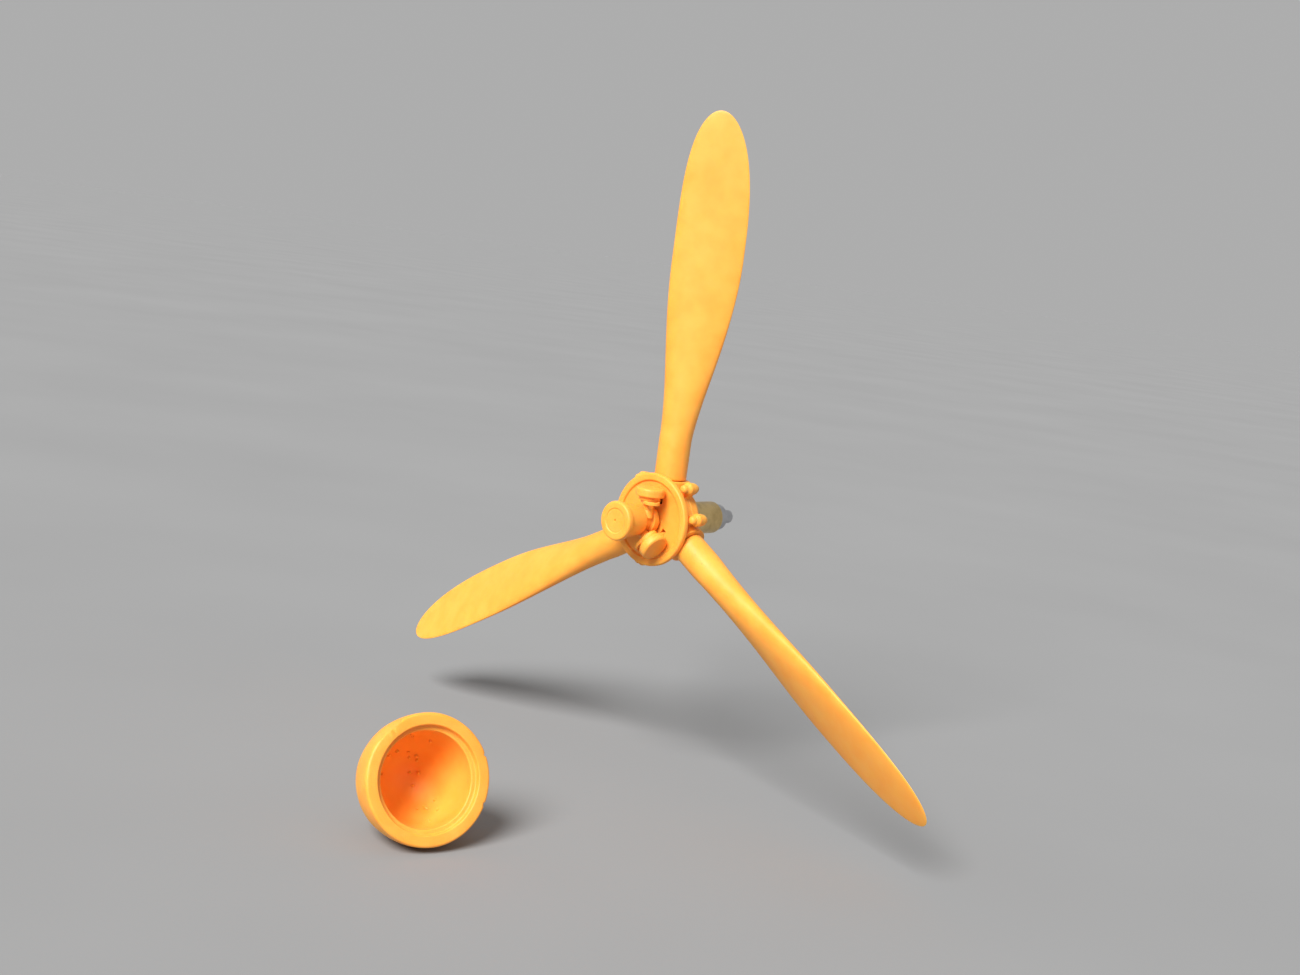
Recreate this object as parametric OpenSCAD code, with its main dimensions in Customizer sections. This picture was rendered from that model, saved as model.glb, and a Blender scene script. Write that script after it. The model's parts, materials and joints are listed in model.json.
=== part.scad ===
// Counterweight propeller for a model aircraft: three blades turn in a split hub and a sliding
// cylinder on the shaft sets their pitch. The spinner lies beside the propeller, pulled off.
// The shaft lies along Y and the nose points to -Y. The origin is the seat of the bearing's flange.

/* [Blades] */
// Diameter across the blade tips
diameter = 94; // [90:0.5:98]
// Radius of the round shank at the blade's root
shank_r = 1.87; // [1.8:0.01:1.9]
// Widest chord of a blade
chord = 8.2; // [7:0.1:9]
// Where the blade is widest, as a share of its radius
wide_at = 0.65; // [0.6:0.01:0.8]
// Blade angle over the outer blade, from the plane of rotation
blade_angle = 31; // [26:0.5:36]
// Extra angle at the root
root_twist = 10; // [0:1:14]
// Sideways shift of the blade's middle, away from its leading edge
sweep = 0.85; // [0:0.05:1.2]
// How round the tip is: 2 is an ellipse, more is blunter
tip_round = 3; // [2:0.1:4]
// Thickness of the blade's tip
tip_thick = 0.4; // [0.4:0.05:0.7]

/* [Hub] */
// Radius of the barrel between the blades
barrel_r = 4.3; // [4.1:0.05:4.5]
// Outer radius of a blade socket
socket_r = 2.35; // [2.3:0.01:2.45]
// Distance from the shaft to a socket's face
socket_reach = 4.7; // [4.6:0.05:4.75]
// Radius of the clamp bolts' circle
bolt_circle = 5.5; // [5.45:0.01:5.55]
// Angle from a blade to the bolts on each side of it
bolt_angle = 40; // [38.5:0.1:41]
// Radius of a bolt boss at its front
boss_r = 0.88; // [0.75:0.01:0.9]
// Outer radius of the dish that the spinner fits
dish_r = 5.4; // [5.35:0.01:5.5]
// Width of the dish's rim
rim_w = 0.85; // [0.7:0.05:1]

/* [Pitch control] */
// Outer radius of the cylinder's flanged cap
cap_r = 2.25; // [2.2:0.05:2.4]
// Distance from the blade axes to the front of the cap
cap_front = 8.5; // [8.3:0.05:8.6]
// Outer radius of the cylinder at its front
cylinder_r = 2; // [1.9:0.05:2.05]
// Blade angle given by each millimetre that the cylinder moves
pitch_per_mm = 15; // [13:0.5:16]
// Travel forward, to fine pitch
fine_travel = 0.67; // [0.5:0.01:0.7]
// Travel back, to coarse pitch
coarse_travel = 0.33; // [0.2:0.01:0.36]

/* [Counterweights] */
// Radius of a counterweight
weight_r = 1.66; // [1.5:0.01:1.66]
// Distance from the shaft to a counterweight's outer face
weight_reach = 3.95; // [3.85:0.05:4]
// Distance of the cam pins forward of the blade axes
pin_forward = 4.2; // [4.2:0.01:4.25]
// Distance of the cam pins to the side of the blade axes
pin_side = 0.96; // [0.9:0.01:1]

/* [Shaft] */
// Radius of the shaft
shaft_r = 1; // [0.95:0.01:1]
// Outer radius of the bearing bush
bush_r = 1.9; // [1.8:0.05:2]
// Length of the bearing bush behind its flange
bush_length = 5; // [4:0.5:8]
// Length of the shaft behind its collar
tail_length = 2; // [1.5:0.5:4]

/* [Spinner] */
// Radius of the spinner's open edge
spinner_r = 6.7; // [6.5:0.05:6.9]
// Length of the spinner
spinner_length = 9.3; // [9:0.1:10]
// Radius of the bowl inside the spinner
bowl_r = 4.9; // [4.85:0.01:5]
// Depth of the step that fits over the dish
step_depth = 0.7; // [0.6:0.05:0.75]
// Bluntness of the spinner's nose
bluntness = 2.3; // [2:0.1:2.6]
// Middle of the open edge, from the middle of the blade plane
spinner_at = [6, -37.2, -24.4]; // [-60:0.1:60]
// Angle that the opening is turned from +X
spinner_heading = -17.5; // [-30:0.1:0]
// Angle that the opening looks up
spinner_tilt = 18.3; // [10:0.1:30]

/* [Hidden] */
$fn = 64;
touch = 0.01;
running = 0.03;
gap = 0.05;
blades = 3;
radius = diameter / 2;

// Lengths along the shaft, measured forward from the blade axes
barrel_front_f = 2.1;
barrel_rear_f = -2.2;
core_half = 1.6;
nut_seat_f = -0.25;
nut_tip_f = -0.9;
bolt_end_f = -0.6;
dish_seat_f = 2;
dish_front_f = 2.7;
floor_f = 2.3;
nut_top_f = 2.95;
skirt_f = [2.75, 3.58];
skirt_floor_f = 3.32;
crosshead_front_f = 4.85;
cylinder_rear_wall = 0.6;
piston_f = [6.15, 6.85];
rod_end_f = 7.35;
cap_thick = 0.75;
cap_seat_f = cap_front - cap_thick;
thread_f = cap_seat_f + 0.4;
washer_f = [barrel_rear_f - 0.45, barrel_rear_f - gap];
flange_f = [washer_f[0] - 0.8, washer_f[0] - 0.1];
bush_end_f = flange_f[0] - bush_length;
collar_f = [bush_end_f - 1.25, bush_end_f - 0.15];
tail_f = collar_f[0] - tail_length;
blade_plane = -flange_f[0];

// Radii around the shaft
tail_r = 0.8;
core_r = 1.9;
rod_r = 0.5;
rod_tip_r = 0.4;
bore_r = 1.45;
skirt_r = 1.65;
crosshead_r = 1.3;
post_r = 0.58;
cylinder_rear_r = 1.75;
nut_r = 1.4;
collar_r = 1.55;
collar_pin_r = 0.3;
flange_r = 2.6;
bolt_r = 0.28;
rear_boss_r = 0.65;

// Blade and side of each clamp bolt
bolt_places = [[1, -1], [1, 1], [2, -1], [3, -1], [3, 1]];

// Lengths along a blade's axis, measured from the shaft, and radii around it
plate_z = [2.1, 2.5];
collar_z = [3.2, 3.85];
neck_r = 1.4;
root_r = 1.35;
butt_r = 1.75;
arm_r = 0.62;
arm_z = 3.85;
sleeve_r = 0.84;
sleeve_z = [2.5, 3.9];
index_r = 0.15;
index_at = 1.1;

// Cam pins, their rollers and the slots that they run in
cam_pin_r = 0.28;
roller_r = 0.6;
roller_z = [1.4, 2.45];
slot_half = roller_r + running;
slot_wall = 0.25;
slot_steps = 8;

// Blade surface
ring_points = 28;
inner_rings = 14;
tip_rings = 12;
blade_start = 4.8;
round_until = 0.2;

// ---- Placing ----

// From the blade plane to the bearing's seat
module hub_place() translate([0, -blade_plane, 0]) children();

// Turns a piece made on the first blade's axis, +Z, to blade number i
module at_blade(i) rotate([0, 360 / blades * (i - 1), 0]) children();

module at_blades() for (i = [1:blades]) at_blade(i) children();

module at_bolts() for (place = bolt_places) at_blade(place[0])
    rotate([0, place[1] * bolt_angle, 0]) translate([0, 0, bolt_circle]) children();

// Cylinder on the shaft's axis between two distances forward of the blade axes
module along_shaft(f, r) translate([0, -f[0], 0]) rotate([90, 0, 0]) cylinder(h = f[1] - f[0], r = r);

// Solid of revolution about the shaft, from [radius, distance forward] points
module turned(points) rotate([90, 0, 0]) rotate_extrude() polygon(points);

// Cylinder on the first blade's axis between two distances from the shaft
module along_blade(z, r) translate([0, 0, z[0]]) cylinder(h = z[1] - z[0], r = r);

// Puts a piece made on the first blade's axis at its cam pin
module at_cam_pin() translate([pin_side, -pin_forward, 0]) children();

// Points of a quarter-round or other arc about [x, y]
function arc(x, y, r, from, to, steps = 6) =
    [for (k = [0:steps]) let (a = from + (to - from) * k / steps) [x + r * cos(a), y + r * sin(a)]];

// ---- Bearing and shaft ----

module shaft_bush() color("goldenrod") hub_place() difference() {
    union() {
        along_shaft(flange_f, flange_r);
        along_shaft([bush_end_f, flange_f[0] + touch], bush_r);
    }
    along_shaft([bush_end_f - 1, flange_f[1] + 1], shaft_r + running);
}

module thrust_washer() color("goldenrod") hub_place() difference() {
    along_shaft(washer_f, flange_r - 0.3);
    along_shaft([washer_f[0] - 1, washer_f[1] + 1], shaft_r + running);
}

module cross_pin(r, half) hub_place() translate([0, -(collar_f[0] + collar_f[1]) / 2, -half])
    cylinder(h = 2 * half, r = r);

module propeller_shaft() color("silver") difference() {
    hub_place() union() {
        along_shaft([tail_f, collar_f[0] + touch], tail_r);
        along_shaft([collar_f[0], nut_top_f - gap], shaft_r);
        along_shaft([nut_top_f - 1, piston_f[0]], rod_r);
        along_shaft([piston_f[0] - 1, rod_end_f], rod_tip_r);
    }
    cross_pin(collar_pin_r + touch, 2 * shaft_r);
}

module rear_collar() color("silver") difference() {
    hub_place() difference() {
        along_shaft(collar_f, collar_r);
        along_shaft([collar_f[0] - 1, collar_f[1] + 1], shaft_r + touch);
    }
    cross_pin(collar_pin_r + touch, 2 * collar_r);
}

module collar_pin() color("silver") cross_pin(collar_pin_r, collar_r);

// ---- Hub ----

module spider() color("silver") hub_place() difference() {
    union() {
        along_shaft([-core_half, core_half], core_r);
        at_blades() along_blade([0, arm_z], arm_r);
    }
    along_shaft([-core_half - 1, core_half + 1], shaft_r + touch);
}

// Window that a bracket's arm comes out through and swings in
module arm_window() at_blades() translate([-0.4, -5, plate_z[0] - 0.1])
    cube([1.7, 5, plate_z[1] - plate_z[0] + 0.2]);

module barrel_hollow() {
    along_shaft([-core_half, core_half], core_r + gap);
    along_shaft([barrel_rear_f - 1, barrel_front_f + 1], shaft_r + running);
    at_blades() {
        along_blade([0, socket_reach + 1], neck_r + gap);
        along_blade([collar_z[0] - gap, collar_z[1] + gap], butt_r + gap + touch);
    }
    at_bolts() along_shaft([-3, 3], bolt_r + touch);
}

module barrel_sockets() at_blades() along_blade([0, socket_reach], socket_r);

// Radius of a bolt boss, which tapers from its front to the nut's seat
function boss_at(f) = rear_boss_r + (boss_r - rear_boss_r) * (f - nut_seat_f) / (core_half - nut_seat_f);

// Boss round a clamp bolt, with the web that joins it to the barrel
module bolt_boss(f) {
    turned([[0, f[0]], [boss_at(f[0]), f[0]], [boss_at(f[1]), f[1]], [0, f[1]]]);
    translate([0.1 - rear_boss_r, -f[1], 3.9 - bolt_circle])
        cube([2 * rear_boss_r - 0.2, f[1] - f[0], bolt_circle - 3.9]);
}

module barrel_front() color("orange") hub_place() difference() {
    union() {
        along_shaft([0, barrel_front_f], barrel_r);
        intersection() {
            barrel_sockets();
            along_shaft([0, barrel_front_f], 2 * barrel_r);
        }
        at_bolts() bolt_boss([0, core_half]);
    }
    barrel_hollow();
    arm_window();
}

module barrel_rear() color("orange") hub_place() difference() {
    union() {
        turned([[0, 0], [barrel_r, 0], [barrel_r, -1], [barrel_r - 0.35, -1.6],
            [barrel_r - 1.2, barrel_rear_f], [0, barrel_rear_f]]);
        intersection() {
            barrel_sockets();
            along_shaft([barrel_rear_f, 0], 2 * barrel_r);
        }
        at_bolts() bolt_boss([nut_seat_f, 0]);
    }
    barrel_hollow();
}

module barrel_bolts() color("orange") hub_place() at_bolts() {
    along_shaft([core_half, core_half + 0.3], 0.48);
    along_shaft([bolt_end_f, core_half], bolt_r);
}

// Bullet-shaped nut on each clamp bolt
module barrel_nuts() color("orange") hub_place() at_bolts() difference() {
    nose_r = 0.3;
    turned(concat(
        [[0, nut_seat_f], [rear_boss_r, nut_seat_f], [rear_boss_r - 0.06, nut_seat_f - 0.2]],
        arc(0.2, nut_tip_f + nose_r, nose_r, 0, -90),
        [[0, nut_tip_f]]));
    along_shaft([bolt_end_f - touch, 0], bolt_r + touch);
}

module dish() color("orange") hub_place() difference() {
    rim_in = dish_r - rim_w;
    seat_r = socket_reach + 0.2;
    turned(concat(
        [[0, barrel_front_f], [seat_r, barrel_front_f], [seat_r + 0.1, dish_seat_f], [dish_r, dish_seat_f]],
        arc(dish_r - 0.2, dish_front_f - 0.2, 0.2, 0, 90),
        arc(rim_in + 0.15, dish_front_f - 0.15, 0.15, 90, 180),
        [[rim_in, floor_f + 0.15], [2.6, floor_f], [0, floor_f]]));
    along_shaft([0, 5], shaft_r + touch);
    arm_window();
}

module hub_nut() color("orange") hub_place() difference() {
    translate([0, -floor_f, 0]) rotate([90, 0, 0]) cylinder(h = nut_top_f - floor_f, r = nut_r, $fn = 6);
    along_shaft([0, 5], shaft_r + touch);
}

module piston() color("silver") hub_place() difference() {
    seal_f = (piston_f[0] + piston_f[1]) / 2;
    along_shaft(piston_f, bore_r - running);
    difference() {
        along_shaft([seal_f - 0.18, seal_f + 0.18], bore_r + 1);
        along_shaft([piston_f[0] - 1, piston_f[1] + 1], 1.1);
    }
    along_shaft([piston_f[0] - 1, piston_f[1] + 1], rod_tip_r + touch);
}

module piston_seal() color("dimgray") hub_place()
    translate([0, -(piston_f[0] + piston_f[1]) / 2, 0]) rotate([90, 0, 0])
    rotate_extrude() translate([1.27, 0]) circle(r = 0.15);

module piston_nut() color("silver") hub_place() difference() {
    translate([0, -piston_f[1], 0]) rotate([90, 0, 0]) cylinder(h = 0.4, r = 0.8, $fn = 6);
    along_shaft([piston_f[1] - 1, rod_end_f + 1], rod_tip_r + touch);
}

// ---- Blades, made on the first blade's axis ----

function tip_share(u) = max(0, u - wide_at) / (1 - wide_at);
function swell(u) = sin(90 * min(1, max(0, u - round_until) / (wide_at - round_until)));
function chord_at(u) =
    (2 * shank_r + (chord - 2 * shank_r) * pow(swell(u), 1.5)) * sqrt(1 - pow(tip_share(u), tip_round));
function thick_at(u) =
    tip_thick + (2 * shank_r - tip_thick) * pow(1 - max(0, u - 0.18) / 0.82, 1.6);
function angle_at(u) = blade_angle + root_twist * pow((1 - u) / 0.9, 4);
function shift_at(u) = sweep * swell(u) * (1 - 0.75 * pow(tip_share(u), 2));

// Shares of the radius where the blade's sections stand, closer together towards the tip
blade_shares = concat(
    [for (k = [0:inner_rings]) blade_start / radius + (wide_at - blade_start / radius) * k / inner_rings],
    [for (k = [1:tip_rings]) wide_at + (1 - wide_at) * sin(88 * k / tip_rings)]);

// One section: a circle at the root, fuller behind the leading edge further out
function section(u) = let (
        half = chord_at(u) / 2, thick = thick_at(u) / 2, turn = angle_at(u), full = 0.3 * swell(u))
    [for (k = [0:ring_points - 1]) let (
        a = 360 * k / ring_points,
        x = half * cos(a) + shift_at(u),
        y = thick * sin(a) * (1 - full * cos(a)))
        [x * cos(turn) - y * sin(turn), x * sin(turn) + y * cos(turn), u * radius]];

module blade_surface() {
    last = len(blade_shares) - 1;
    n = ring_points;
    points = [for (u = blade_shares) each section(u)];
    sides = [for (j = [0:last - 1], k = [0:n - 1], half = [0, 1])
        let (a = j * n + k, b = j * n + (k + 1) % n)
        half == 0 ? [a, a + n, b] : [b, a + n, b + n]];
    polyhedron(points, concat(sides, [[for (k = [0:n - 1]) k]], [[for (k = [n - 1:-1:0]) last * n + k]]));
}

module blade_solid() difference() {
    union() {
        blade_surface();
        along_blade([collar_z[1] - gap, blade_start + 0.5], neck_r);
        along_blade(collar_z, butt_r);
        along_blade([plate_z[1], collar_z[0] + gap], root_r);
    }
    along_blade([plate_z[1] - 1, sleeve_z[1] + 0.1], sleeve_r + touch);
    index_holes();
}

module index_holes() for (side = [-1, 1]) translate([side * index_at, 0, plate_z[0] - 0.1])
    cylinder(h = 1, r = index_r + touch);

module blade(i) color("orange") hub_place() at_blade(i) blade_solid();

// Plain bearing between a blade and its arm of the spider
module blade_sleeve(i) color("goldenrod") hub_place() at_blade(i) difference() {
    along_blade(sleeve_z, sleeve_r);
    along_blade([sleeve_z[0] - 1, sleeve_z[1] + 1], arm_r + running);
}

// ---- Counterweight brackets ----

// Cam pin's place beside the blade axis when the cylinder has moved s forward and the blade has
// turned with it, seen from the blade
function slot_point(s) = let (a = pitch_per_mm * s, f = pin_forward + s)
    [pin_side * cos(a) + f * sin(a), pin_side * sin(a) - f * cos(a)];
function slot_travel(k) = -coarse_travel - 0.01 + (fine_travel + coarse_travel + 0.02) * k / slot_steps;
function slot_heading(s) = let (d = slot_point(s + 0.01) - slot_point(s - 0.01)) atan2(d[1], d[0]);
function slot_rim(s, w, turn) = let (a = slot_heading(s) + turn) slot_point(s) + w * [cos(a), sin(a)];

// Outline at a distance w round the cam pin's path
module slot_outline(w) polygon(concat(
    [for (k = [0:slot_steps]) slot_rim(slot_travel(k), w, 90)],
    [for (a = [75:-15:-75]) slot_rim(slot_travel(slot_steps), w, a)],
    [for (k = [slot_steps:-1:0]) slot_rim(slot_travel(k), w, -90)],
    [for (a = [-105:-15:-255]) slot_rim(slot_travel(0), w, a)]));

// Plate of a bracket: a ring on the blade's root, an arm and the slot's surround
module bracket_plate() {
    thick = plate_z[1] - plate_z[0];
    difference() {
        union() {
            cylinder(h = thick, r = root_r);
            linear_extrude(thick) polygon([[-0.45, 0], [0.45, 0], [1.2, -3.7], [0.5, -3.7]]);
            linear_extrude(thick) slot_outline(slot_half + slot_wall);
        }
        translate([0, 0, -1]) linear_extrude(thick + 2) slot_outline(slot_half);
        translate([0, 0, -1]) cylinder(h = thick + 2, r = arm_r + 0.1);
    }
}

module bracket(i) color("orange") hub_place() at_blade(i) difference() {
    translate([0, 0, plate_z[0]]) bracket_plate();
    index_holes();
}

module bracket_pins(i) color("silver") hub_place() at_blade(i) for (side = [-1, 1])
    translate([side * index_at, 0, plate_z[0]]) cylinder(h = 0.85, r = index_r);

module counterweight(i) color("orange") hub_place() at_blade(i) at_cam_pin()
    rotate_extrude() polygon(concat(
        [[0, plate_z[1]], [1.2, plate_z[1]], [1.2, weight_reach - 1]],
        arc(weight_r - 0.15, weight_reach - 0.85, 0.15, -90, 0),
        arc(weight_r - 0.3, weight_reach - 0.3, 0.3, 0, 90),
        [[0, weight_reach]]));

// ---- Pitch cylinder ----

module cylinder_body() color("orange") hub_place() difference() {
    turned(concat(
        [[0, crosshead_front_f]],
        arc(cylinder_rear_r - 0.2, crosshead_front_f + 0.2, 0.2, -90, 0),
        [[cylinder_r, cap_seat_f], [cylinder_r - 0.25, cap_seat_f], [cylinder_r - 0.25, thread_f],
            [0, thread_f]]));
    along_shaft([crosshead_front_f + cylinder_rear_wall, thread_f + 1], bore_r);
    along_shaft([0, thread_f], rod_r + running);
}

module cylinder_cap() color("orange") hub_place() difference() {
    turned(concat(
        [[0, cap_seat_f], [cap_r - 0.1, cap_seat_f], [cap_r, cap_seat_f + 0.1]],
        arc(cap_r - 0.2, cap_front - 0.2, 0.2, 0, 90),
        [[1.42, cap_front], [1.33, cap_front - 0.09], [0, cap_front - 0.04]]));
    along_shaft([0, thread_f + touch], cylinder_r - 0.24);
    along_shaft([cap_front - 0.2, cap_front + 1], 0.12);
}

// Carries the cam pins on round posts; its skirt slides over the hub's nut
module crosshead() color("orange") hub_place() difference() {
    union() {
        along_shaft(skirt_f, skirt_r);
        along_shaft([skirt_f[1] - touch, crosshead_front_f], crosshead_r);
        at_blades() at_cam_pin() along_blade([0, roller_z[0] - gap], post_r);
    }
    along_shaft([skirt_f[0] - 1, skirt_floor_f], nut_r + gap);
    along_shaft([0, 9], rod_r + running);
    at_blades() at_cam_pin() along_blade([0.2, 3], cam_pin_r + touch);
}

module cam_pin(i) color("orange") hub_place() at_blade(i) at_cam_pin()
    along_blade([0.2, roller_z[1]], cam_pin_r);

module cam_roller(i) color("orange") hub_place() at_blade(i) at_cam_pin() difference() {
    along_blade(roller_z, roller_r);
    along_blade([0, 3], cam_pin_r + touch);
}

// ---- Spinner, made with its opening towards +Z and its open edge at 0 ----

// Nose curve from its full radius at the edge to its tip
function nose(r, length) =
    [for (a = [0:5:90]) [r * sqrt(1 - pow(sin(a), bluntness)), -length * sin(a)]];
function reversed(list) = [for (k = [len(list) - 1:-1:0]) list[k]];

module spinner_shell() rotate_extrude() polygon(concat(
    [[dish_r + gap, 0], [dish_r + gap, -step_depth]],
    [for (p = nose(bowl_r, spinner_length - step_depth - 0.8)) p - [0, step_depth]],
    reversed(nose(spinner_r, spinner_length))));

module spinner() color("orange") hub_place() translate(spinner_at)
    rotate([0, 90 - spinner_tilt, spinner_heading]) spinner_shell();

// ---- Nodes ----

shaft_bush();
thrust_washer();
propeller_shaft();
rear_collar();
collar_pin();
spider();
barrel_front();
barrel_rear();
barrel_bolts();
barrel_nuts();
dish();
hub_nut();
piston();
piston_seal();
piston_nut();
blade(1);  // blade_1
blade(2);  // blade_2
blade(3);  // blade_3
blade_sleeve(1);  // blade_sleeve_1
blade_sleeve(2);  // blade_sleeve_2
blade_sleeve(3);  // blade_sleeve_3
bracket(1);  // bracket_1
bracket(2);  // bracket_2
bracket(3);  // bracket_3
bracket_pins(1);  // bracket_pins_1
bracket_pins(2);  // bracket_pins_2
bracket_pins(3);  // bracket_pins_3
counterweight(1);  // counterweight_1
counterweight(2);  // counterweight_2
counterweight(3);  // counterweight_3
cylinder_body();  // cylinder
cylinder_cap();
crosshead();
cam_pin(1);  // cam_pin_1
cam_pin(2);  // cam_pin_2
cam_pin(3);  // cam_pin_3
cam_roller(1);  // cam_roller_1
cam_roller(2);  // cam_roller_2
cam_roller(3);  // cam_roller_3
spinner();
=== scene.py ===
import json
import math
import random

import bmesh
import bpy
from mathutils import Matrix, Vector, noise


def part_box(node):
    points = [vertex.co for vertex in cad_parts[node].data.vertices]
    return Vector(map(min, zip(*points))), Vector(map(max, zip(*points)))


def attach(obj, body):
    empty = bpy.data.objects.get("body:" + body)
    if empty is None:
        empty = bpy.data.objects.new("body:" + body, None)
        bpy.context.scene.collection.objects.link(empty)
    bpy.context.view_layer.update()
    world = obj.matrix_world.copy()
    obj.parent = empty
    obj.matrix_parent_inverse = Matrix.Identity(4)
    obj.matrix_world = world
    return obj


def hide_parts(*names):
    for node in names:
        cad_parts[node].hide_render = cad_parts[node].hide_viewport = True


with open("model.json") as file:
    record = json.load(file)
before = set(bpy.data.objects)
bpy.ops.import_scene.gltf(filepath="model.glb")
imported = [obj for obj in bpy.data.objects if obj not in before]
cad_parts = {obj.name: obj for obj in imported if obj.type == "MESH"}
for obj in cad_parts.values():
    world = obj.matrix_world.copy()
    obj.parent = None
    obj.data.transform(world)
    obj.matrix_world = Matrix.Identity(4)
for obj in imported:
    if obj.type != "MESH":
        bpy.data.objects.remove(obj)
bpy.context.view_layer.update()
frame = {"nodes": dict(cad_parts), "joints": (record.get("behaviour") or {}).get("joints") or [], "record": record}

# Lengths are in millimetres up to the point where a mesh is made, which turns them into metres.
# "Forward" is a distance along the shaft towards the nose, from the plane of the blade axes.
MM = 0.001
BLADES = 3

# Fits, as in the CAD model
TOUCH = 0.01
RUNNING = 0.03
GAP = 0.05

# Blade, as in the CAD model
RADIUS = 47.0
SHANK_R = 1.87
CHORD = 8.2
WIDE_AT = 0.65
BLADE_ANGLE = 31.0
ROOT_TWIST = 10.0
SWEEP = 0.85
TIP_ROUND = 3.0
TIP_THICK = 0.4
ROUND_UNTIL = 0.2
WIDENING = 1.5
THIN_FROM = 0.18
THINNING = 1.6
TWIST_FROM = 0.1
TWIST_FADE = 4
SWEEP_FALL = 0.75
FULLNESS = 0.3
BLADE_START = 4.8
TIP_FLATTEN = 8  # in the looks only: how late the blade thins to its tip's edge
FIRST_SECTION = BLADE_START + 0.3
ROOT_BORE_R = 0.85
ROOT_BORE_TOP = 4.0
ROOT_R = 1.35
ROOT_END = 2.5
BUTT_R = 1.75
BUTT_SPAN = (3.2, 3.85)
NECK_R = 1.4

# Slight unevenness of the castings: waves all over, and a lump near one blade's root
WAVE_HEIGHT = 0.035
WAVE_SCALE = 0.16
LUMPY_BLADE = 3
LUMP_END = 16
LUMP_AT = 9
LUMP_SPREAD = 3.5
LUMP_HEIGHT = 0.05

# Hub and linkage, as in the CAD model
SHAFT_R = 1.0
TAIL_R = 0.8
ROD_R = 0.5
ROD_TIP_R = 0.4
BUSH_R = 1.9
DISH_BORE = SHAFT_R + TOUCH
RIM_WIDTH = 0.85
FLOOR_DEPTH = 0.4
SEAT_R = 4.9
WINDOW_LOW = (-0.4, -5, 2.0)
WINDOW_HIGH = (1.3, 0, 2.6)
BOLT_CIRCLE = 5.5
BOLT_ANGLE = 40.0
BOLTS = ((1, -1), (1, 1), (2, -1), (3, -1), (3, 1))  # blade and side of each clamp bolt
BOLT_R = 0.28
BOLT_END = -0.6
NUT_TIP = -0.9
PIN_SIDE = 0.96
PIN_FORWARD = 4.2
PIN_R = 0.28
ROLLER_R = 0.6
ROLLER_SPAN = (1.4, 2.45)
ROD_BORE = ROD_R + RUNNING
CYLINDER_BORE = 1.45
CYLINDER_REAR_R = 1.75
CYLINDER_WALL = 0.6
CROSSHEAD_R = 1.3
POST_R = 0.58
SKIRT_R = 1.65
SKIRT_BORE = 1.45
SKIRT_FLOOR = 3.32
SKIRT_FRONT = 3.58
WEIGHT_R = 1.66
WEIGHT_REACH = 3.95

# Finer shapes of the hub and linkage, for the looks
BOSS_FRONT = 1.2
BOSS_SHOULDER = BOSS_FRONT - 0.5
BOSS_CLEAR_R = 1.15
HEAD_R = 0.52
HEAD_SEAT = BOSS_FRONT - 0.2
BOLT_TOP = 1.8
NUT_R = 0.72
NUT_SEAT = 0.2
CAP_DIP_R = 1.47
SPIGOT_STEP = 0.24  # from the cylinder's radius to that of the cap's spigot
PINHOLE_R = 0.13
PINHOLE_DEPTH = 0.2
POST_FOOT = 0.5
PIN_FOOT = 0.2
STEM_R = 1.2
STEM_FOOT = 2.5
WEIGHT_THICK = 1

# Spinner, as in the CAD model
SPINNER_R = 6.7
SPINNER_LENGTH = 9.3
BOWL_R = 4.9
STEP_R = 5.45
STEP_DEPTH = 0.7
BLUNTNESS = 2.3
NOSE_WALL = 0.8
SPINNER_AT = Vector((6, -37.2, -24.4))
SPINNER_HEADING = -17.5
SPINNER_TILT = 18.3

# Wear and moulding marks on the spinner, which only the looks have
FLAT_ANGLE = math.radians(218)  # the stretch of its edge that is filed flat
FLAT_CUT = 0.3
FLAT_DEPTH = 3.5
NICK_ANGLES = (math.radians(66), math.radians(110))
NICK_HALF_WIDTH = 0.25
NICK_REACH = 0.6
NICK_BACK = 0.9
NICK_CUT = 0.03
PIPS = 22
PIP_PLACES = (0.25, 0.9)  # least and greatest share of the way from the bowl's edge to its middle
PIP_SIZES = (0.11, 0.22)

# Photographer's place: the way back to the camera, its roll, distance and lens
CAMERA_AZIMUTH = 41.22
CAMERA_ELEVATION = 7.71
CAMERA_ROLL = 7.77
CAMERA_DISTANCE = 199.4
CAMERA_TARGET = Vector((-2.88, 0, 3.16))
CAMERA_LENS = 47.1
SENSOR = 36.0

# The lamp and the evenly lit room
KEY_FROM = Vector((0.2, -0.73, 0.65))
KEY_ENERGY = 5.2
KEY_SPREAD = 28
ROOM_LIGHT = 0.42


def joint(name):
    return next(j for j in frame["joints"] if j["name"] == name)


PLANE_Y = joint("blade_1_pitch")["pos_m"][1] / MM


def span(node):
    """(rear, front) of a node, forward of the blade axes."""
    low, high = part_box(node)
    return PLANE_Y - high.y / MM, PLANE_Y - low.y / MM


def round_r(node):
    """Radius of a node that is round about the shaft."""
    low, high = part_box(node)
    return (high.x - low.x) / 2 / MM


# ---- Places ----

def shaft_place():
    """Turns +Z into forward along the shaft, from the plane of the blade axes."""
    return Matrix.Translation((0, PLANE_Y, 0)) @ Matrix.Rotation(math.radians(90), 4, "X")


def blade_place(number):
    """Keeps +Z as the blade's axis and turns it to that blade."""
    turn = Matrix.Rotation(math.tau / BLADES * (number - 1), 4, "Y")
    return Matrix.Translation((0, PLANE_Y, 0)) @ turn


def spinner_place():
    """Turns +Z into the way that the spinner's opening looks."""
    heading = Matrix.Rotation(math.radians(SPINNER_HEADING), 4, "Z")
    tilt = Matrix.Rotation(math.radians(90 - SPINNER_TILT), 4, "Y")
    return Matrix.Translation(SPINNER_AT + Vector((0, PLANE_Y, 0))) @ heading @ tilt


# ---- Mesh tools ----

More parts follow.
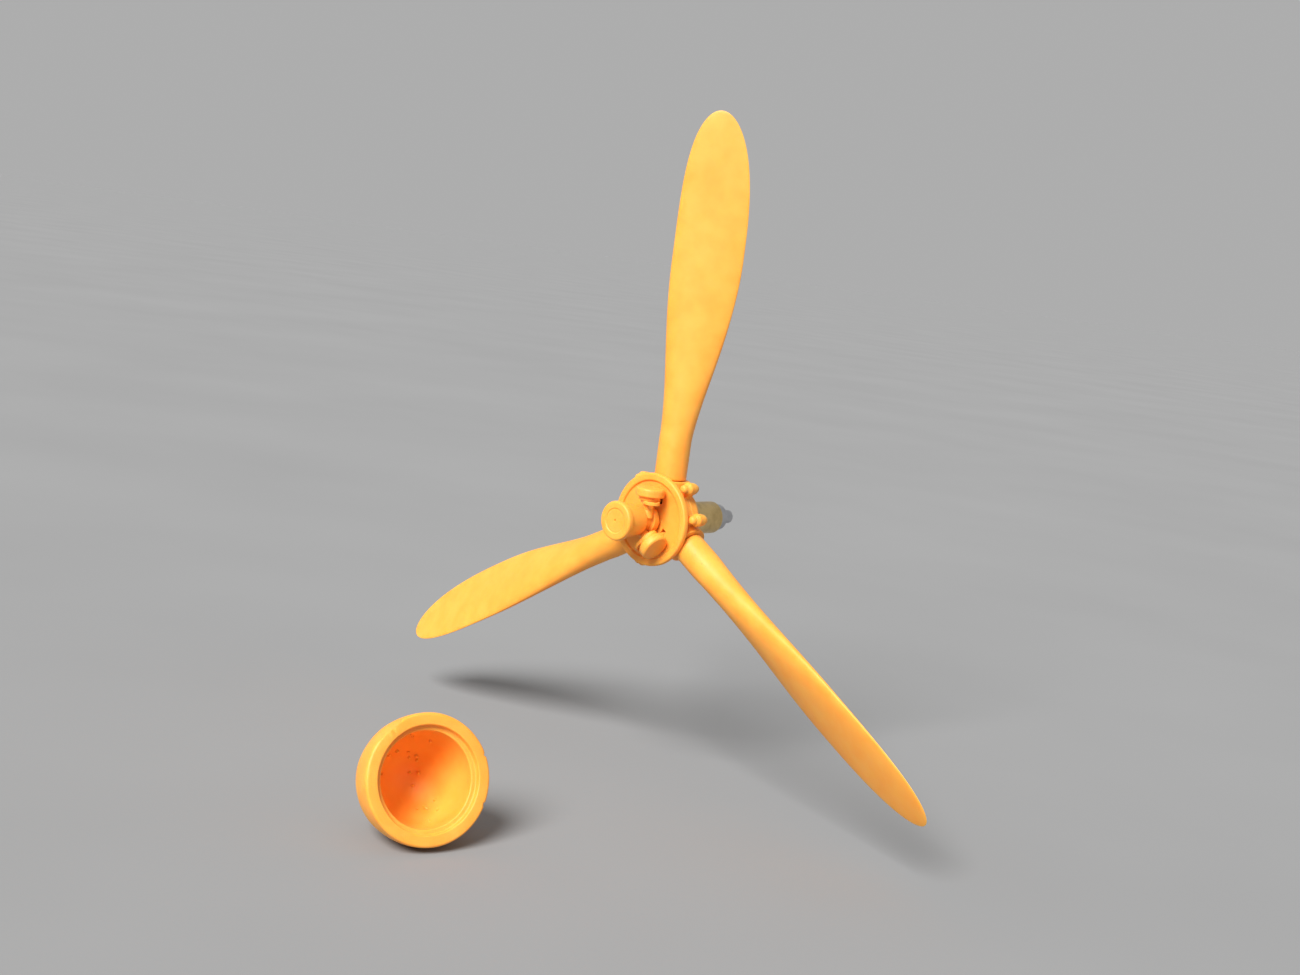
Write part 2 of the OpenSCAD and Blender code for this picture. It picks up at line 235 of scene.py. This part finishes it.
def rounded(corners, steps=5):
    """A closed outline from (x, y, radius) corners, each rounded by an arc of its radius."""
    outline = []
    count = len(corners)
    for k, (x, y, radius) in enumerate(corners):
        here = Vector((x, y))
        before = (Vector(corners[k - 1][:2]) - here).normalized()
        after = (Vector(corners[(k + 1) % count][:2]) - here).normalized()
        half = before.angle(after) / 2 if radius else 0
        if not radius or half > math.radians(88):
            outline.append((x, y))
            continue
        centre = here + (before + after).normalized() * radius / math.sin(half)
        first = here + before * radius / math.tan(half) - centre
        sweep = first.angle_signed(here + after * radius / math.tan(half) - centre)
        for j in range(steps + 1):
            point = first.copy()
            point.rotate(Matrix.Rotation(-sweep * j / steps, 2))
            outline.append(tuple(centre + point))
    return outline


def mesh_object(name, points, faces, place):
    """An object in the row frame, from points in millimetres."""
    data = bpy.data.meshes.new(name)
    data.from_pydata([place @ Vector(p) * MM for p in points], [], faces)
    made = bmesh.new()
    made.from_mesh(data)
    bmesh.ops.remove_doubles(made, verts=made.verts, dist=1e-7)
    bmesh.ops.recalc_face_normals(made, faces=made.faces)
    made.to_mesh(data)
    made.free()
    piece = bpy.data.objects.new(name, data)
    bpy.context.scene.collection.objects.link(piece)
    return piece


def revolve(name, outline, place, segments=96):
    """A solid of revolution about +Z, from a closed outline of (radius, height)."""
    points = []
    for radius, height in outline:
        for s in range(segments):
            a = math.tau * s / segments
            points.append((radius * math.cos(a), radius * math.sin(a), height))
    faces = []
    rows = len(outline)
    for row in range(rows):
        following = (row + 1) % rows
        if outline[row][0] == 0 and outline[following][0] == 0:
            continue
        for s in range(segments):
            t = (s + 1) % segments
            faces.append([row * segments + s, row * segments + t,
                          following * segments + t, following * segments + s])
    return mesh_object(name, points, faces, place)


def smooth(piece, angle=35):
    piece.data.shade_smooth()
    piece.data.set_sharp_from_angle(angle=math.radians(angle))
    return piece


def apply_modifiers(piece):
    """Turns the piece's modifiers into its mesh."""
    graph = bpy.context.evaluated_depsgraph_get()
    data = bpy.data.meshes.new_from_object(piece.evaluated_get(graph))
    piece.modifiers.clear()
    piece.data = data
    return piece


def cut(piece, *cutters):
    """Takes the cutters out of the piece and removes them."""
    for cutter in cutters:
        boolean = piece.modifiers.new("cut", "BOOLEAN")
        boolean.object = cutter
        boolean.solver = "EXACT"
    apply_modifiers(piece)
    for cutter in cutters:
        bpy.data.objects.remove(cutter)
    return piece


def soft_copy(node, name, voxel=0.06, passes=4, keep=0.4, cutters=()):
    """A cast copy of a CAD node: the same shape with softly rounded edges."""
    piece = bpy.data.objects.new(name, frame["nodes"][node].data.copy())
    bpy.context.scene.collection.objects.link(piece)
    cut(piece, *cutters)
    remesh = piece.modifiers.new("remesh", "REMESH")
    remesh.mode = "VOXEL"
    remesh.voxel_size = voxel * MM
    relax = piece.modifiers.new("relax", "SMOOTH")
    relax.factor = 0.5
    relax.iterations = passes
    thin = piece.modifiers.new("thin", "DECIMATE")
    thin.ratio = keep
    apply_modifiers(piece)
    piece.data.shade_smooth()
    return piece


def show(piece, body, material, slot, *nodes):
    """Puts the piece on its body with its material, in place of its CAD nodes."""
    piece.data.materials.clear()
    piece.data.materials.append(material)
    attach(piece, body)
    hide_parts(*nodes)
    return piece


# ---- Materials ----

class Nodes:
    """A material's node tree, with short calls for making and joining nodes."""

    def __init__(self, name):
        self.material = bpy.data.materials.new(name)
        self.material.use_nodes = True
        self.tree = self.material.node_tree
        self.shader = self.tree.nodes["Principled BSDF"]
        self.place = self.tree.nodes.new("ShaderNodeTexCoord").outputs["Object"]

    def add(self, kind, **settings):
        node = self.tree.nodes.new("ShaderNode" + kind)
        for key, value in settings.items():
            setattr(node, key, value)
        return node

    def join(self, output, target):
        self.tree.links.new(output, target)

    def noise(self, scale, detail=3, roughness=0.5):
        """Noise with scale waves a metre, between 0 and 1."""
        node = self.add("TexNoise")
        node.inputs["Scale"].default_value = scale
        node.inputs["Detail"].default_value = detail
        node.inputs["Roughness"].default_value = roughness
        self.join(self.place, node.inputs["Vector"])
        return node.outputs["Fac"]

    def spots(self, scale, size):
        """Scattered round spots, 1 in a spot's middle and 0 outside it."""
        cells = self.add("TexVoronoi")
        cells.inputs["Scale"].default_value = scale
        self.join(self.place, cells.inputs["Vector"])
        return self.ramp(cells.outputs["Distance"], 0, size, 1, 0)

    def ramp(self, value, low, high, out_low=0, out_high=1):
        node = self.add("MapRange")
        node.inputs["From Min"].default_value = low
        node.inputs["From Max"].default_value = high
        node.inputs["To Min"].default_value = out_low
        node.inputs["To Max"].default_value = out_high
        self.join(value, node.inputs["Value"])
        return node.outputs["Result"]

    def times(self, a, b):
        node = self.add("Math", operation="MULTIPLY")
        self.join(a, node.inputs[0])
        self.join(b, node.inputs[1])
        return node.outputs["Value"]

    def mix(self, factor, first, second):
        """Blend of two colours or outputs."""
        node = self.add("Mix", data_type="RGBA")
        self.join(factor, node.inputs["Factor"])
        for value, target in ((first, node.inputs["A"]), (second, node.inputs["B"])):
            if isinstance(value, tuple):
                target.default_value = (*value, 1)
            else:
                self.join(value, target)
        return node.outputs["Result"]

    def bump(self, height, strength, distance, under=None):
        node = self.add("Bump")
        node.inputs["Strength"].default_value = strength
        node.inputs["Distance"].default_value = distance
        self.join(height, node.inputs["Height"])
        if under:
            self.join(under, node.inputs["Normal"])
        return node.outputs["Normal"]


RESIN = (0.99, 0.37, 0.044)
# a paler resin tone, used for random mottling and for the painted highlight on convex edges
RESIN_PALE = (1.0, 0.42, 0.06)
RESIN_DEEP = (0.97, 0.31, 0.026)
# painted shade for the inside of the pinholes
RESIN_PIT_SHADE = (0.6, 0.16, 0.01)
RUBBER = (0.02, 0.02, 0.022)
RUBBER_WORN = (0.04, 0.04, 0.042)
FLOOR = (0.268, 0.268, 0.268)
FLOOR_PALE = (0.284, 0.284, 0.284)


def resin_material():
    """Unpainted cast resin: opaque orange with a faint glow, fine casting grain and a few pinholes darkened with
    painted shade, and convex edges lightened with a painted highlight.
    """
    made = Nodes("cast_resin")
    shader = made.shader
    mottle = made.ramp(made.noise(420, 4), 0.35, 0.65)
    colour = made.mix(mottle, RESIN, RESIN_PALE)
    clouds = made.ramp(made.noise(90, 2), 0.45, 0.75, 0, 0.3)
    colour = made.mix(clouds, colour, RESIN_DEEP)
    # painted highlight: convex edges, found by pointiness, are lightened towards the pale resin tone
    edges = made.add("NewGeometry").outputs["Pointiness"]
    colour = made.mix(made.ramp(edges, 0.52, 0.6, 0, 0.55), colour, RESIN_PALE)
    # painted shade: the pinholes are darkened to stand in for the shade inside them; the bump below gives their
    # real dip
    pits = made.times(made.spots(900, 0.09), made.ramp(made.noise(300), 0.6, 0.66))
    colour = made.mix(made.ramp(pits, 0, 1, 0, 0.7), colour, RESIN_PIT_SHADE)
    made.join(colour, shader.inputs["Base Color"])
    made.join(made.ramp(made.noise(900, 4), 0.3, 0.7, 0.42, 0.56), shader.inputs["Roughness"])
    grain = made.bump(made.noise(14000, 3, 0.6), 0.25, 0.00002)
    waves = made.bump(made.noise(700, 2), 0.1, 0.00006, grain)
    made.join(made.bump(made.ramp(pits, 0, 1, 1, 0), 0.8, 0.00005, waves), shader.inputs["Normal"])
    shader.inputs["Specular IOR Level"].default_value = 0.42
    shader.inputs["Subsurface Weight"].default_value = 0.35
    shader.inputs["Subsurface Radius"].default_value = (1.0, 0.35, 0.08)
    shader.inputs["Subsurface Scale"].default_value = 0.0009
    return made.material


def metal_material(name, colour, worn, roughness):
    """Turned metal with fine tool marks and a slight stain."""
    made = Nodes(name)
    shader = made.shader
    stain = made.ramp(made.noise(900, 5), 0.4, 0.7)
    made.join(made.mix(stain, colour, worn), shader.inputs["Base Color"])
    wear = made.ramp(made.noise(2600, 4), 0.3, 0.7, roughness, roughness + 0.15)
    made.join(wear, shader.inputs["Roughness"])
    marks = made.add("TexWave", bands_direction="Y")
    marks.inputs["Scale"].default_value = 2500
    marks.inputs["Distortion"].default_value = 1.5
    made.join(made.place, marks.inputs["Vector"])
    made.join(made.bump(marks.outputs["Fac"], 0.25, 0.00001), shader.inputs["Normal"])
    shader.inputs["Metallic"].default_value = 1.0
    return made.material


def rubber_material():
    made = Nodes("seal_rubber")
    shader = made.shader
    shade = made.ramp(made.noise(1800, 3), 0.3, 0.7)
    made.join(made.mix(shade, RUBBER, RUBBER_WORN), shader.inputs["Base Color"])
    made.join(made.bump(made.noise(9000, 3), 0.3, 0.00002), shader.inputs["Normal"])
    shader.inputs["Roughness"].default_value = 0.7
    return made.material


def floor_material():
    made = Nodes("pale_floor")
    shade = made.ramp(made.noise(12, 3), 0.3, 0.7)
    tone = made.mix(shade, FLOOR, FLOOR_PALE)
    made.join(tone, made.shader.inputs["Base Color"])
    made.shader.inputs["Roughness"].default_value = 0.9
    made.shader.inputs["Specular IOR Level"].default_value = 0.1
    return made.material


MATERIALS = {
    "resin": resin_material(),
    "steel": metal_material("turned_steel", (0.56, 0.56, 0.57), (0.42, 0.42, 0.43), 0.28),
    "brass": metal_material("turned_brass", (0.78, 0.57, 0.25), (0.6, 0.42, 0.17), 0.3),
    "rubber": rubber_material(),
}


def cast(piece, body, *nodes):
    return show(piece, body, MATERIALS["resin"], "resin", *nodes)


# ---- Blades ----

def tip_share(u):
    return min(1.0, max(0.0, u - WIDE_AT) / (1 - WIDE_AT))


def swell(u):
    return math.sin(math.pi / 2 * min(1.0, max(0.0, u - ROUND_UNTIL) / (WIDE_AT - ROUND_UNTIL)))


def section(u, points):
    """The blade's section at a share of its radius: a circle at the root, a blade further out."""
    wide = 2 * SHANK_R + (CHORD - 2 * SHANK_R) * swell(u) ** WIDENING
    half_chord = wide * math.sqrt(max(0.0, 1 - tip_share(u) ** TIP_ROUND)) / 2
    thinned = 1 - max(0.0, u - THIN_FROM) / (1 - THIN_FROM)
    thick = TIP_THICK + (2 * SHANK_R - TIP_THICK) * thinned ** THINNING
    half_thick = thick / 2 * math.sqrt(max(0.0, 1 - tip_share(u) ** TIP_FLATTEN))
    turn = math.radians(BLADE_ANGLE + ROOT_TWIST * ((1 - u) / (1 - TWIST_FROM)) ** TWIST_FADE)
    shift = SWEEP * swell(u) * (1 - SWEEP_FALL * tip_share(u) ** 2)
    full = FULLNESS * swell(u)
    ring = []
    for k in range(points):
        a = math.tau * k / points
        x = half_chord * math.cos(a) + shift
        y = half_thick * math.sin(a) * (1 - full * math.cos(a))
        turned = (x * math.cos(turn) - y * math.sin(turn), x * math.sin(turn) + y * math.cos(turn))
        ring.append(Vector((*turned, u * RADIUS)))
    return ring


def circle(radius, height, points):
    """A ring of the blade's root, with its points where the sections' points are."""
    turn = math.radians(BLADE_ANGLE + ROOT_TWIST)
    return [Vector((radius * math.cos(math.tau * k / points + turn),
                    radius * math.sin(math.tau * k / points + turn), height)) for k in range(points)]


def root_outline():
    """Bore, stub, butt flange and neck of a blade, as (radius, height) up to the shank."""
    low, high = BUTT_SPAN
    corners = [
        (ROOT_BORE_R, ROOT_BORE_TOP, 0), (ROOT_BORE_R, ROOT_END, 0.05), (ROOT_R, ROOT_END, 0.08),
        (ROOT_R, low, 0), (BUTT_R, low, 0.08), (BUTT_R, high, 0.08), (NECK_R, high, 0),
        (NECK_R, BLADE_START, 0), (SHANK_R, BLADE_START, 0.14), (SHANK_R, BLADE_START + 1, 0)]
    return rounded(corners)[1:-1]


def cast_flaws(point, number):
    """How far the casting stands off its true surface there."""
    offset = WAVE_HEIGHT * noise.noise(point * WAVE_SCALE + Vector((number * 7, 0, 0)))
    if number == LUMPY_BLADE and point.z < LUMP_END:
        fade = math.exp(-(((point.z - LUMP_AT) / LUMP_SPREAD) ** 2))
        lump = noise.noise(Vector((point.x * 0.8, point.y * 0.8, point.z * 2.2)))
        offset += LUMP_HEIGHT * fade * lump
    return offset


def blade(number, around=72, inner=54, outer=40):
    """One blade in a single skin, from the bore in its root to its tip."""
    first = FIRST_SECTION / RADIUS
    shares = [first + (WIDE_AT - first) * k / inner for k in range(inner + 1)]
    shares += [WIDE_AT + (1 - WIDE_AT) * math.sin(math.radians(89.5) * k / outer)
               for k in range(1, outer + 1)]
    rings = [circle(ROOT_BORE_R, ROOT_BORE_TOP, around)]
    rings += [circle(r, z, around) for r, z in root_outline()]
    rings += [section(u, around) for u in shares]
    points = []
    for ring in rings:
        middle = sum(ring, Vector()) / around
        for point in ring:
            flaw = cast_flaws(point, number) if point.z > FIRST_SECTION else 0
            points.append(point + (point - middle).normalized() * flaw)
    faces = []
    for row in range(len(rings) - 1):
        for k in range(around):
            j = (k + 1) % around
            faces.append([row * around + k, row * around + j,
                          (row + 1) * around + j, (row + 1) * around + k])
    faces.append(list(range(around)))
    faces.append([(len(rings) - 1) * around + k for k in range(around)])
    piece = smooth(mesh_object(f"cast_blade_{number}", points, faces, blade_place(number)), 50)
    return cast(piece, f"blade_{number}", f"blade_{number}")


# ---- Hub ----

def turned(name, corners, node, body, slot="resin", place=None, segments=96):
    """A turned piece in place of its CAD node, from (radius, height, fillet) corners."""
    piece = smooth(revolve(name, rounded(corners), place or shaft_place(), segments), 40)
    return show(piece, body, MATERIALS[slot], slot, node)


def block(low, high, place):
    """A box between two corners, in millimetres."""
    points = [(x, y, z) for x in (low[0], high[0]) for y in (low[1], high[1]) for z in (low[2], high[2])]
    faces = [(0, 1, 3, 2), (4, 6, 7, 5), (0, 4, 5, 1), (2, 3, 7, 6), (0, 2, 6, 4), (1, 5, 7, 3)]
    return mesh_object("block", points, faces, place)


def dish():
    """The dish behind the spinner: a raised rim round a sloping floor, with a window for each bracket."""
    rear, front = span("dish")
    reach = round_r("dish")
    inner = reach - RIM_WIDTH
    outline = rounded([
        (DISH_BORE, rear + 0.1, 0.03), (SEAT_R, rear + 0.1, 0.05), (SEAT_R + 0.1, rear, 0.05),
        (reach, rear, 0.12), (reach, front, 0.24), (inner, front, 0.2),
        (inner - 0.05, front - FLOOR_DEPTH + 0.15, 0.12), (2.6, front - FLOOR_DEPTH, 0.5),
        (DISH_BORE, front - FLOOR_DEPTH, 0.05)])
    piece = revolve("cast_dish", outline, shaft_place(), 144)
    windows = [block(WINDOW_LOW, WINDOW_HIGH, blade_place(n)) for n in range(1, BLADES + 1)]
    cast(smooth(cut(piece, *windows), 40), "hub", "dish")


def bolt_place(blade_number, side):
    """Turns +Z into forward along a clamp bolt."""
    turn = Matrix.Rotation(math.radians(side * BOLT_ANGLE), 4, "Y")
    out = Matrix.Translation((0, 0, BOLT_CIRCLE))
    return blade_place(blade_number) @ turn @ out @ Matrix.Rotation(math.radians(90), 4, "X")


def barrel():
    """The two halves of the barrel and the nut that holds the hub, with cast edges."""
    taper = [(0, BOSS_FRONT), (0.5, BOSS_FRONT), (0.85, BOSS_SHOULDER), (BOSS_CLEAR_R, BOSS_SHOULDER),
             (BOSS_CLEAR_R, BOLT_TOP), (0, BOLT_TOP)]
    fronts = [revolve("boss_front", taper, bolt_place(*bolt), 40) for bolt in BOLTS]
    cast(soft_copy("barrel_front", "cast_barrel_front", 0.07, 3, cutters=fronts), "hub", "barrel_front")
    cast(soft_copy("barrel_rear", "cast_barrel_rear", 0.07, 3), "hub", "barrel_rear")
    cast(soft_copy("hub_nut", "cast_hub_nut", 0.04, 4), "hub", "hub_nut")


def clamp_bolt(number, bolt):
    """A clamp bolt with its round head, and the bullet-shaped nut that runs into the boss."""
    place = bolt_place(*bolt)
    turned(f"cast_bolt_{number}", [
        (0, BOLT_END, 0), (BOLT_R, BOLT_END, 0.05), (BOLT_R, HEAD_SEAT, 0), (HEAD_R, HEAD_SEAT, 0),
        (0.45, BOLT_TOP, 0.34), (0, BOLT_TOP, 0)],
        "barrel_bolts", "hub", place=place, segments=48)
    bore = BOLT_R + TOUCH
    floor_z = BOLT_END - TOUCH
    turned(f"cast_bullet_{number}", [
        (bore, NUT_SEAT, 0), (NUT_R, NUT_SEAT, 0), (0.64, -0.3, 0.6), (0.33, NUT_TIP, 0.3),
        (0, NUT_TIP, 0), (0, floor_z, 0), (bore, floor_z, 0)],
        "barrel_nuts", "hub", place=place, segments=56)


def shaft_line():
    """Shaft, collar with its pin, bearing bush and thrust washer."""
    tail, tip = span("propeller_shaft")
    rear, front = span("rear_collar")
    step = span("hub_nut")[1] - GAP
    piston_seat = span("piston")[0]
    turned("turned_shaft", [
        (0, tail, 0), (TAIL_R, tail, 0.15), (TAIL_R, rear, 0.03), (SHAFT_R, rear, 0.05),
        (SHAFT_R, step, 0.1), (ROD_R, step, 0.04), (ROD_R, piston_seat, 0.03),
        (ROD_TIP_R, piston_seat, 0.02), (ROD_TIP_R, tip, 0.08), (0, tip, 0)],
        "propeller_shaft", "hub", "steel")
    reach = round_r("rear_collar")
    grip = SHAFT_R + TOUCH
    turned("turned_collar", [
        (grip, rear, 0.06), (reach, rear, 0.12), (reach, front, 0.12), (grip, front, 0.06)],
        "rear_collar", "hub", "steel")
    low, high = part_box("collar_pin")
    middle = Matrix.Translation((0, (low.y + high.y) / 2 / MM, 0))
    half, thick = high.z / MM, (high.x - low.x) / 2 / MM
    turned("turned_collar_pin", [(0, -half, 0), (thick, -half, 0.06), (thick, half, 0.06), (0, half, 0)],
           "collar_pin", "hub", "steel", middle, 48)
    rear, front = span("shaft_bush")
    bore = SHAFT_R + RUNNING
    flange = round_r("shaft_bush")
    seat = PLANE_Y  # the frame's origin is on the flange's rear face
    turned("turned_bush", [
        (bore, rear, 0.08), (BUSH_R, rear, 0.15), (BUSH_R, seat, 0.04), (flange, seat, 0.06),
        (flange, front, 0.12), (bore, front, 0.06)], "shaft_bush", "bearing", "brass")
    rear, front = span("thrust_washer")
    reach = round_r("thrust_washer")
    turned("turned_washer", [
        (bore, rear, 0.05), (reach, rear, 0.08), (reach, front, 0.08), (bore, front, 0.05)],
        "thrust_washer", "bearing", "brass")


# ---- Pitch control ----

def pitch_cylinder():
    """Cylinder, its flanged cap with a sunk middle and a pinhole, and the crosshead behind them."""
    rear, thread = span("cylinder")
    seat, front = span("cylinder_cap")
    wide = round_r("cylinder")
    socket = wide - 0.25
    wall = rear + CYLINDER_WALL
    turned("cast_cylinder", [
        (ROD_BORE, rear, 0.03), (CYLINDER_REAR_R, rear, 0.2), (wide, seat, 0.03), (socket, seat, 0.03),
        (socket, thread, 0.05), (CYLINDER_BORE, thread, 0.05), (CYLINDER_BORE, wall, 0.1),
        (ROD_BORE, wall, 0.03)], "cylinder", "pitch_cylinder", segments=128)
    reach = round_r("cylinder_cap")
    inner = wide - SPIGOT_STEP
    bottom = front - PINHOLE_DEPTH
    end = thread + 0.02
    turned("cast_cap", [
        (inner, seat, 0.03), (reach, seat, 0.14), (reach, front, 0.26), (CAP_DIP_R, front, 0.1),
        (1.36, front - 0.1, 0.06), (1.2, front - 0.07, 0.1), (0.17, front - 0.05, 0.04),
        (PINHOLE_R, bottom, 0.02), (0, bottom, 0), (0, end, 0), (inner, end, 0.03)],
        "cylinder_cap", "pitch_cylinder", segments=128)
    rear, front = span("crosshead")
    turned("cast_crosshead", [
        (ROD_BORE, SKIRT_FLOOR, 0.03), (SKIRT_BORE, SKIRT_FLOOR, 0.05), (SKIRT_BORE, rear, 0.05),
        (SKIRT_R, rear, 0.08), (SKIRT_R, SKIRT_FRONT, 0.12), (CROSSHEAD_R, SKIRT_FRONT + 0.02, 0.25),
        (CROSSHEAD_R, front, 0), (ROD_BORE, front, 0.03)], "crosshead", "pitch_cylinder")


def pin_place(number):
    """Keeps +Z along the blade and moves to that blade's cam pin."""
    return blade_place(number) @ Matrix.Translation((PIN_SIDE, -PIN_FORWARD, 0))


def linkage(number):
    """Cam pin, its roller on the crosshead's post, the slotted bracket and the counterweight on it."""
    place = pin_place(number)
    low, high = ROLLER_SPAN
    turned(f"cast_cam_pin_{number}", [
        (0, PIN_FOOT, 0), (PIN_R, PIN_FOOT, 0.04), (PIN_R, high, 0.04), (0, high, 0)],
        f"cam_pin_{number}", "pitch_cylinder", place=place, segments=40)
    turned(f"cast_cam_roller_{number}", [
        (PIN_R, low, 0), (ROLLER_R, low, 0.04), (ROLLER_R, high, 0.08), (PIN_R, high, 0)],
        f"cam_roller_{number}", "pitch_cylinder", place=place, segments=64)
    post = rounded([
        (PIN_R, POST_FOOT, 0), (POST_R + 0.08, POST_FOOT, 0), (POST_R, low, 0.04), (PIN_R, low, 0)])
    cast(smooth(revolve(f"cast_post_{number}", post, place, 48)), "pitch_cylinder", "crosshead")
    bracket = f"bracket_{number}"
    cast(soft_copy(bracket, f"cast_{bracket}", 0.04, 3), f"blade_{number}", bracket)
    top = WEIGHT_REACH
    under = top - WEIGHT_THICK
    turned(f"cast_counterweight_{number}", [
        (0, STEM_FOOT, 0), (STEM_R, STEM_FOOT, 0.06), (STEM_R, under, 0.1), (WEIGHT_R, under, 0.14),
        (WEIGHT_R, top, 0.3), (0.9, top - 0.03, 0.3), (0, top - 0.06, 0)],
        f"counterweight_{number}", f"blade_{number}", place=place, segments=80)


# ---- Spinner ----

def nose(radius, length, share):
    """(radius, depth) of a nose curve at a share of the way from its edge to its tip."""
    s = math.sin(math.pi / 2 * share)
    return radius * math.sqrt(max(0.0, 1 - s ** BLUNTNESS)), -length * s


def bowl_point(share, angle):
    radius, depth = nose(BOWL_R, SPINNER_LENGTH - STEP_DEPTH - NOSE_WALL, share)
    return Vector((radius * math.cos(angle), radius * math.sin(angle), depth - STEP_DEPTH))


def spinner_outline(rows=26):
    """The spinner's section: step, bowl, nose and softly rounded edges."""
    shares = [k / rows for k in range(rows + 1)]
    bowl = [(r, z - STEP_DEPTH, 0) for r, z in
            (nose(BOWL_R, SPINNER_LENGTH - STEP_DEPTH - NOSE_WALL, share) for share in shares[1:])]
    outer = [(r, z, 0) for r, z in
             (nose(SPINNER_R, SPINNER_LENGTH, share) for share in reversed(shares[2:]))]
    edge = [(SPINNER_R, 0, 0.3), (STEP_R, 0, 0.14),
            (STEP_R, -STEP_DEPTH, 0.16), (BOWL_R, -STEP_DEPTH, 0.16)]
    return rounded(bowl + outer + edge)


def worn(point):
    """Rim of the spinner: a stretch filed flat and two nicks in its edge."""
    angle = math.atan2(point.y, point.x)
    reach = math.hypot(point.x, point.y)
    if point.z > -FLAT_DEPTH:
        way = Vector((math.cos(FLAT_ANGLE), math.sin(FLAT_ANGLE), 0))
        limit = SPINNER_R - FLAT_CUT * (1 + point.z / FLAT_DEPTH)
        point = point - way * max(0.0, point.dot(way) - limit)
    if reach > SPINNER_R - NICK_REACH and point.z > -NICK_BACK:
        for nick in NICK_ANGLES:
            away = abs(angle - nick) * reach
            point = point * (1 - NICK_CUT * max(0.0, 1 - away / NICK_HALF_WIDTH))
    return point + 0.03 * noise.noise_vector(point * 0.35)


def pip(name, share, angle, size, stretch=1.0):
    """A small blob of resin on the wall of the bowl, as left by a bubble in the mould."""
    made = bmesh.new()
    bmesh.ops.create_icosphere(made, subdivisions=3, radius=1)
    data = bpy.data.meshes.new(name)
    made.to_mesh(data)
    made.free()
    here = bowl_point(share, angle)
    down = (bowl_point(share + 0.02, angle) - here).normalized()
    side = Vector((-math.sin(angle), math.cos(angle), 0))
    turn = Matrix((side, down, side.cross(down))).transposed().to_4x4()
    place = Matrix.Translation(here) @ turn @ Matrix.Diagonal((size, size * stretch, size * 1.2, 1))
    seed = Vector((share * 90, angle * 9, 0))
    points = [v.co * (1 + 0.25 * noise.noise(v.co * 1.3 + seed)) for v in data.vertices]
    faces = [list(f.vertices) for f in data.polygons]
    bpy.data.meshes.remove(data)
    piece = smooth(mesh_object(name, points, faces, spinner_place() @ place), 180)
    cast(piece, "spinner")


def spinner():
    """The loose spinner, with its bowl towards the camera."""
    place = spinner_place()
    piece = revolve("cast_spinner", spinner_outline(), Matrix(), 200)
    for vertex in piece.data.vertices:
        vertex.co = place @ worn(vertex.co / MM) * MM
    cast(smooth(piece, 45), "spinner", "spinner")
    chance = random.Random(7)
    for k in range(PIPS):
        share = chance.uniform(*PIP_PLACES)
        angle = chance.uniform(0, math.tau)
        pip(f"pip_{k + 1}", share, angle, chance.uniform(*PIP_SIZES))
    pip("pip_long", 0.48, math.radians(36), 0.2, 2.0)


# ---- Studio ----

def camera():
    """Stands where the photographer did."""
    azimuth, elevation = math.radians(CAMERA_AZIMUTH), math.radians(CAMERA_ELEVATION)
    back = Vector((math.sin(azimuth) * math.cos(elevation),
                   -math.cos(azimuth) * math.cos(elevation), math.sin(elevation)))
    right = (-back).cross(Vector((0, 0, 1))).normalized()
    up = right.cross(-back)
    roll = math.radians(CAMERA_ROLL)
    tilted_right = math.cos(roll) * right + math.sin(roll) * up
    tilted_up = -math.sin(roll) * right + math.cos(roll) * up
    data = bpy.data.cameras.new("camera")
    data.lens = CAMERA_LENS
    data.sensor_width = SENSOR
    data.clip_start = 0.01
    data.clip_end = 40
    eye = bpy.data.objects.new("camera", data)
    bpy.context.scene.collection.objects.link(eye)
    turn = Matrix((tilted_right, tilted_up, back)).transposed().to_4x4()
    spot = CAMERA_TARGET + Vector((0, PLANE_Y, 0)) + back * CAMERA_DISTANCE
    eye.matrix_world = Matrix.Translation(spot * MM) @ turn
    bpy.context.scene.camera = eye


def floor():
    """A wide pale floor under the lowest point of the spinner."""
    low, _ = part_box("spinner")
    bpy.ops.mesh.primitive_circle_add(vertices=128, radius=15, fill_type="NGON", location=(0, 0, low.z))
    ground = bpy.context.object
    ground.name = "floor"
    ground.data.materials.append(floor_material())


def lights():
    """One broad lamp above and to the left of the camera, in an evenly lit pale room."""
    data = bpy.data.lights.new("key", "SUN")
    data.energy = KEY_ENERGY
    data.angle = math.radians(KEY_SPREAD)
    lamp = bpy.data.objects.new("key", data)
    lamp.rotation_euler = KEY_FROM.to_track_quat("Z", "Y").to_euler()
    bpy.context.scene.collection.objects.link(lamp)
    world = bpy.data.worlds.new("studio")
    world.use_nodes = True
    world.node_tree.nodes["Background"].inputs["Color"].default_value = (1, 1, 1, 1)
    world.node_tree.nodes["Background"].inputs["Strength"].default_value = ROOM_LIGHT
    bpy.context.scene.world = world
    bpy.context.scene.view_settings.view_transform = "Standard"


def carried_nodes():
    """CAD nodes that keep their shape take the material of their slot."""
    for part in frame["record"]["subparts"]:
        piece = frame["nodes"][part["node"]]
        if not piece.hide_render:
            piece.data.materials.clear()
            piece.data.materials.append(MATERIALS[part["material_slot"]])


dish()
barrel()
for bolt_number, bolt in enumerate(BOLTS, 1):
    clamp_bolt(bolt_number, bolt)
shaft_line()
pitch_cylinder()
spinner()
for blade_number in range(1, BLADES + 1):
    blade(blade_number)
    linkage(blade_number)
carried_nodes()
floor()
lights()
camera()
